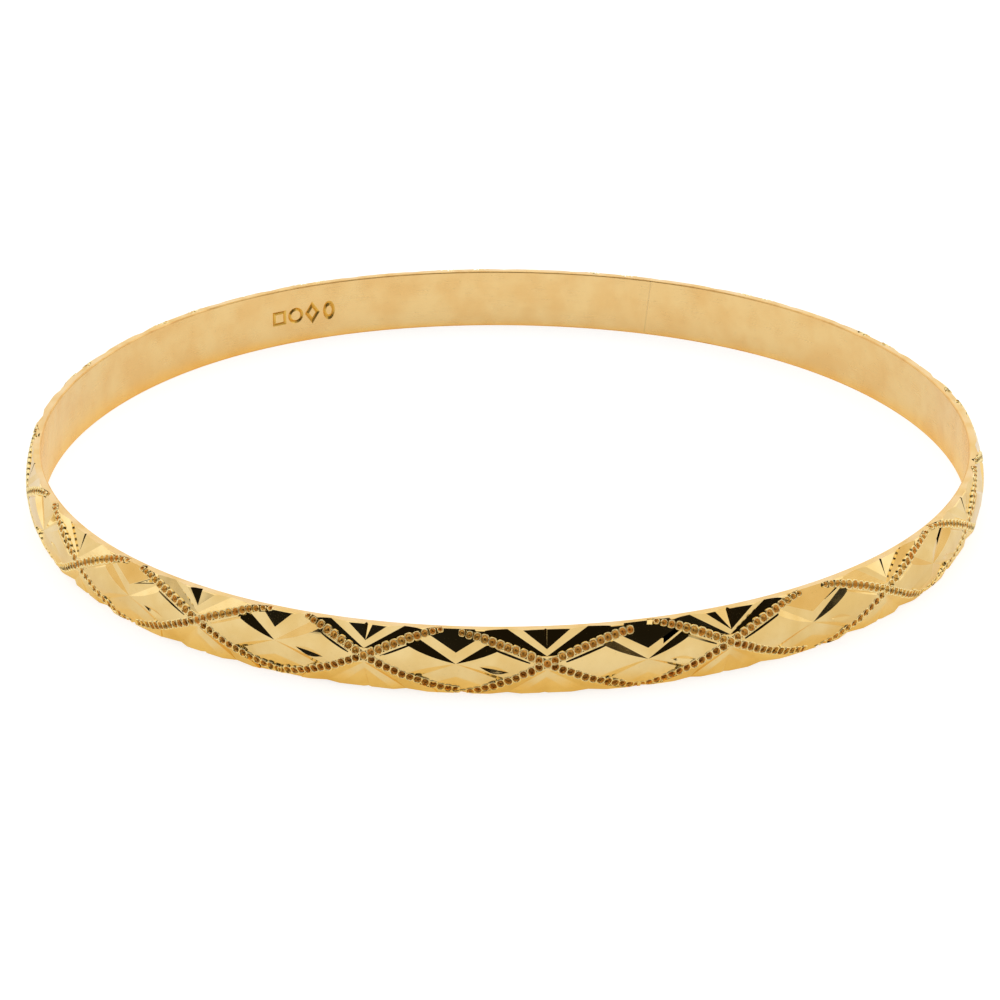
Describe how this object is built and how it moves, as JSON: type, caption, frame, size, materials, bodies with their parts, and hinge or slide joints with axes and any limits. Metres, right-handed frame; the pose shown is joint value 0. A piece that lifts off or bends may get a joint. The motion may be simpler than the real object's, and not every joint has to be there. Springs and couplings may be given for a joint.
{
  "type": "bangle bracelet",
  "caption": "Rigid closed slip-on gold bangle with a plain polished inside and a domed outside cut with star-filled lozenges between beaded lines.",
  "frame": {"origin": "centre of the ring at mid width", "axes": "+Z along the ring's axis, away from the edge it rests on; -Y towards the viewer's side of the ring; the solder joint lies 69.3 degrees from +X towards +Y"},
  "size_m": [0.0658, 0.0658, 0.0044],
  "materials": {
    "gold": "polished",
    "gold_solder": "polished"
  },
  "bodies": {
    "root": {"band": "gold", "solder_joint": "gold_solder"}
  },
  "joints": []
}
